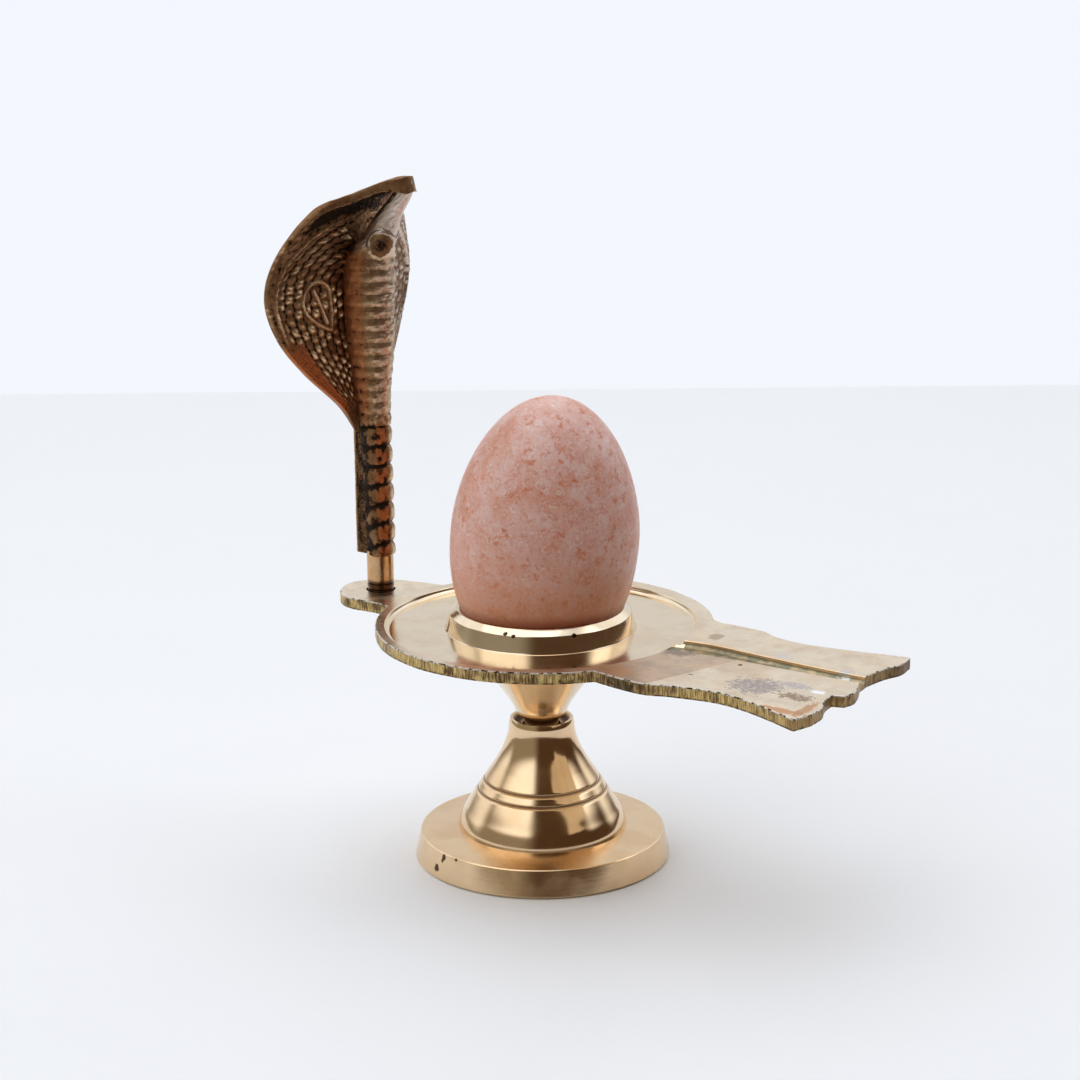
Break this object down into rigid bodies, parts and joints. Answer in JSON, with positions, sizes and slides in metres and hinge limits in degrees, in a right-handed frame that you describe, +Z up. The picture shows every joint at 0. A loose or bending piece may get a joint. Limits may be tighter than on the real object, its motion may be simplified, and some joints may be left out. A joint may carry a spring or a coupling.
{
  "type": "shiva lingam stone on brass stand",
  "caption": "Polished egg-shaped lingam stone resting in the collar of a brass yoni plate with drain spout and hooded cobra, on a turned bell foot.",
  "frame": {"origin": "middle of the flat land under the foot, on the turned axis of foot, bowl and collar", "axes": "+Z up along the turned axis, +X along the drain channel to the end of the spout, cobra at -X, +Y to the left of someone looking along +X"},
  "size_m": [0.1234, 0.0662, 0.133],
  "materials": {
    "stone": "polished, salmon pink, finely speckled with whitish and orange-red grains",
    "plate_brass": "basin and bowl turned bright, spout and tab rubbed satin with grime, cut edge rough",
    "foot_brass": "turned and polished, with fine lathe lines",
    "cobra_brass": "as cast, brown and gold patina with black grime in the recesses"
  },
  "bodies": {
    "root": {"lingam_stone": "stone", "yoni_plate": "plate_brass", "stand_foot": "foot_brass", "naga": "cobra_brass"}
  },
  "joints": []
}
